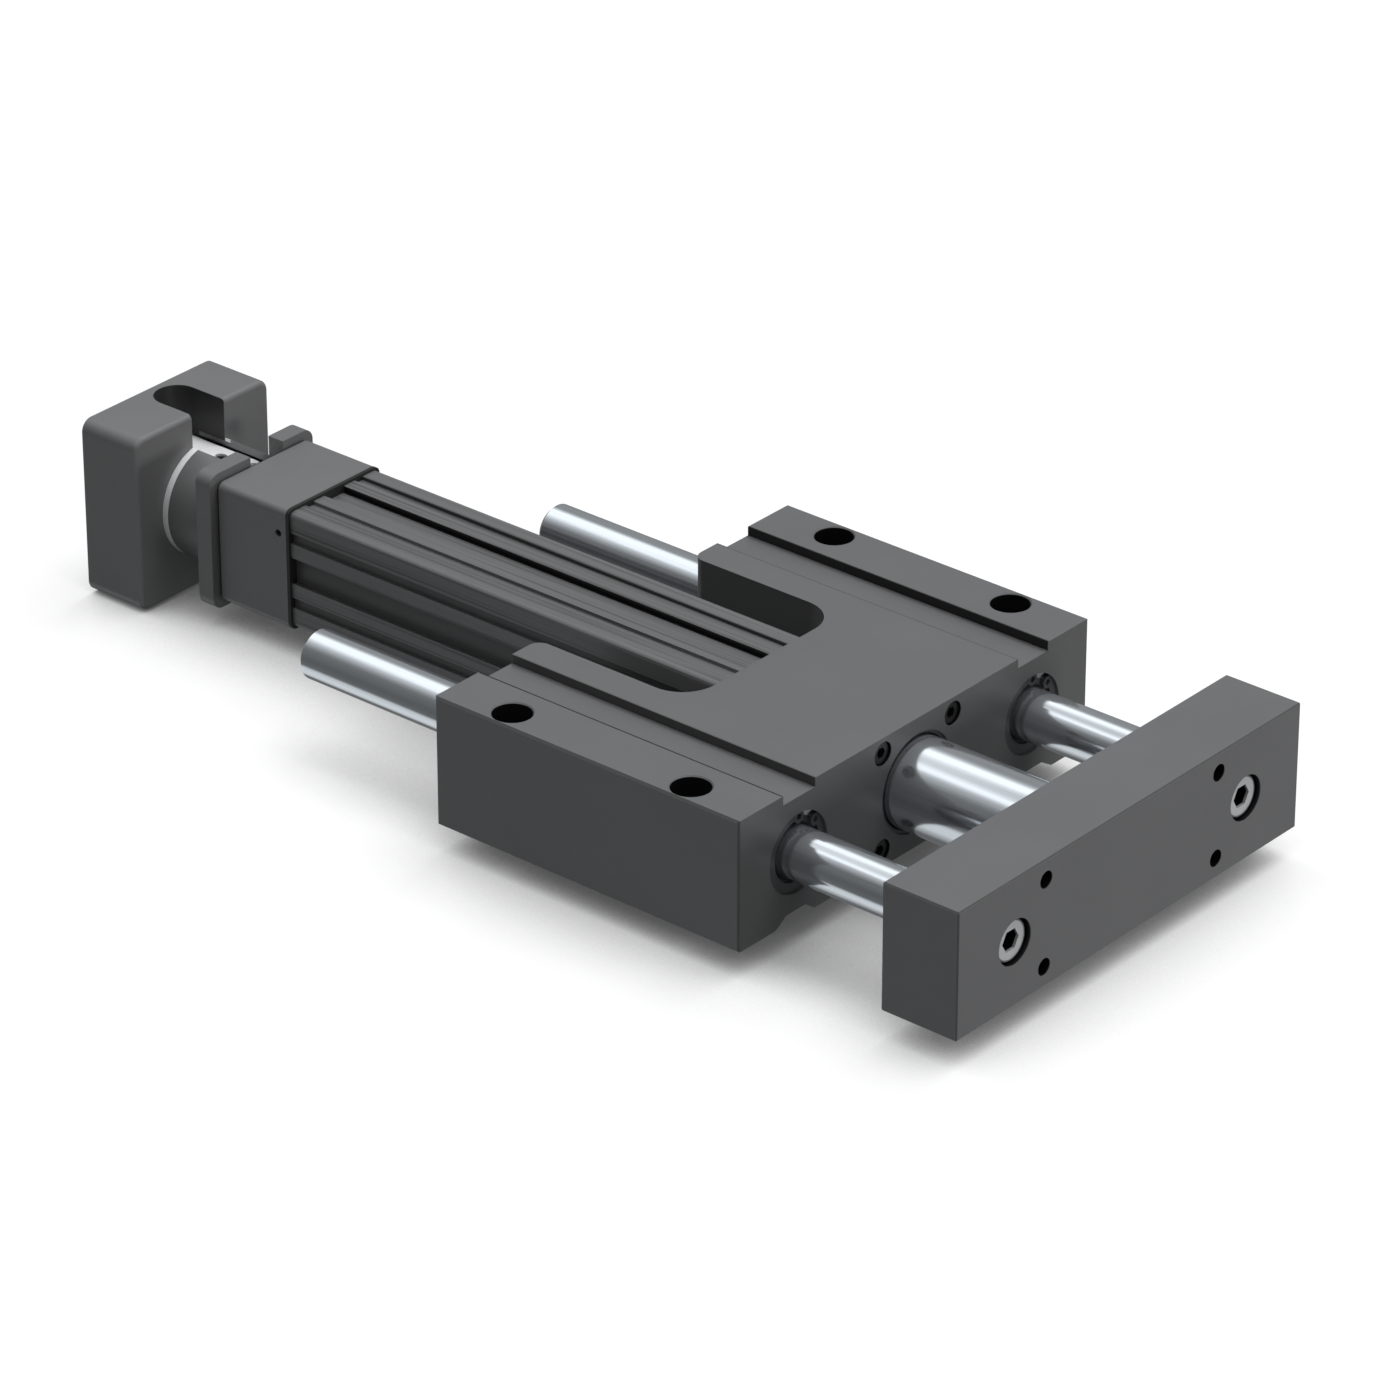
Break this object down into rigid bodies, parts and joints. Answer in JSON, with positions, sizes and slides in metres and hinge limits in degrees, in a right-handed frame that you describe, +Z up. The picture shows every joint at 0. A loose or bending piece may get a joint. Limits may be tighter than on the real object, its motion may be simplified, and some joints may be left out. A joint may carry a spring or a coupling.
{
  "type": "guided rod electric actuator",
  "caption": "Screw-driven rod actuator in a guide block, with two guide rods carrying a tool plate and a flanged motor mount with a coupling window.",
  "frame": {"origin": "centre of the guide block's four mounting holes, on the block's bottom face", "axes": "+X along the rods towards the tool plate, +Y across the block, +Z up from the mounting face"},
  "size_m": [0.4794, 0.2, 0.074],
  "materials": {
    "anodised_block": "dark grey satin anodised, finely milled",
    "anodised_tube": "dark grey satin anodised extrusion",
    "anodised_housing": "dark grey satin anodised",
    "chromed_rod": "ground and hard chromed",
    "polished_ring": "polished",
    "bright_aluminium": "bright turned",
    "bearing_steel": "ground",
    "blackened_steel": "blackened",
    "zinc_screw": "zinc plated",
    "black_rubber": "matt black",
    "bush_bronze": "dull bronze",
    "bearing_polymer": "black moulded",
    "spider_elastomer": "moulded elastomer",
    "magnet": "dull"
  },
  "bodies": {
    "root": {"guide_block": "anodised_block", "actuator_tube": "anodised_tube", "bearing_housing": "anodised_housing", "coupling_housing": "anodised_housing", "motor_mount": "anodised_housing", "centring_ring": "polished_ring", "bushing_near_rear": "bearing_steel", "bushing_near_front": "bearing_steel", "bushing_far_rear": "bearing_steel", "bushing_far_front": "bearing_steel", "bearing_outer_rings": "bearing_steel", "retaining_rings": "blackened_steel", "tube_screws": "blackened_steel", "housing_screws": "blackened_steel", "mount_screws": "blackened_steel", "grease_screw": "blackened_steel", "bearing_clamp_ring": "blackened_steel", "bushing_wipers": "black_rubber", "rod_seal": "black_rubber", "rod_wiper": "black_rubber", "housing_gasket": "black_rubber", "flange_seal": "black_rubber", "front_bumper": "black_rubber", "rear_bumper": "black_rubber", "rod_bush_rear": "bush_bronze", "rod_bush_front": "bush_bronze", "bushing_cages": "bearing_polymer"},
    "carriage": {"tool_plate": "anodised_block", "guide_rod_near": "chromed_rod", "guide_rod_far": "chromed_rod", "plate_screws": "zinc_screw", "thrust_rod": "chromed_rod", "rod_end_stud": "bearing_steel", "nut_carrier": "bright_aluminium", "wear_ring": "bearing_polymer", "magnet_ring": "magnet", "ball_nut": "bearing_steel"},
    "screw": {"ball_screw": "bearing_steel", "screw_tip_bush": "bearing_polymer", "bearing_inner_rings": "bearing_steel", "bearing_locknut": "blackened_steel", "coupling_hub_screw": "bright_aluminium", "coupling_hub_motor": "bright_aluminium", "coupling_spider": "spider_elastomer", "coupling_set_screws": "blackened_steel"}
  },
  "joints": [
    {"name": "carriage_slide", "type": "slide", "parent": "root", "child": "carriage", "axis": [1, 0, 0], "range_m": [-0.058, 0.082]},
    {"name": "screw_turn", "type": "hinge", "parent": "root", "child": "screw", "pos_m": [0, 0, 0.0265], "axis": [1, 0, 0], "range_deg": [-1480, 1048]}
  ],
  "couplings": [
    {"joint": "screw_turn", "follows": "carriage_slide", "rad_per_m": -314.16}
  ]
}
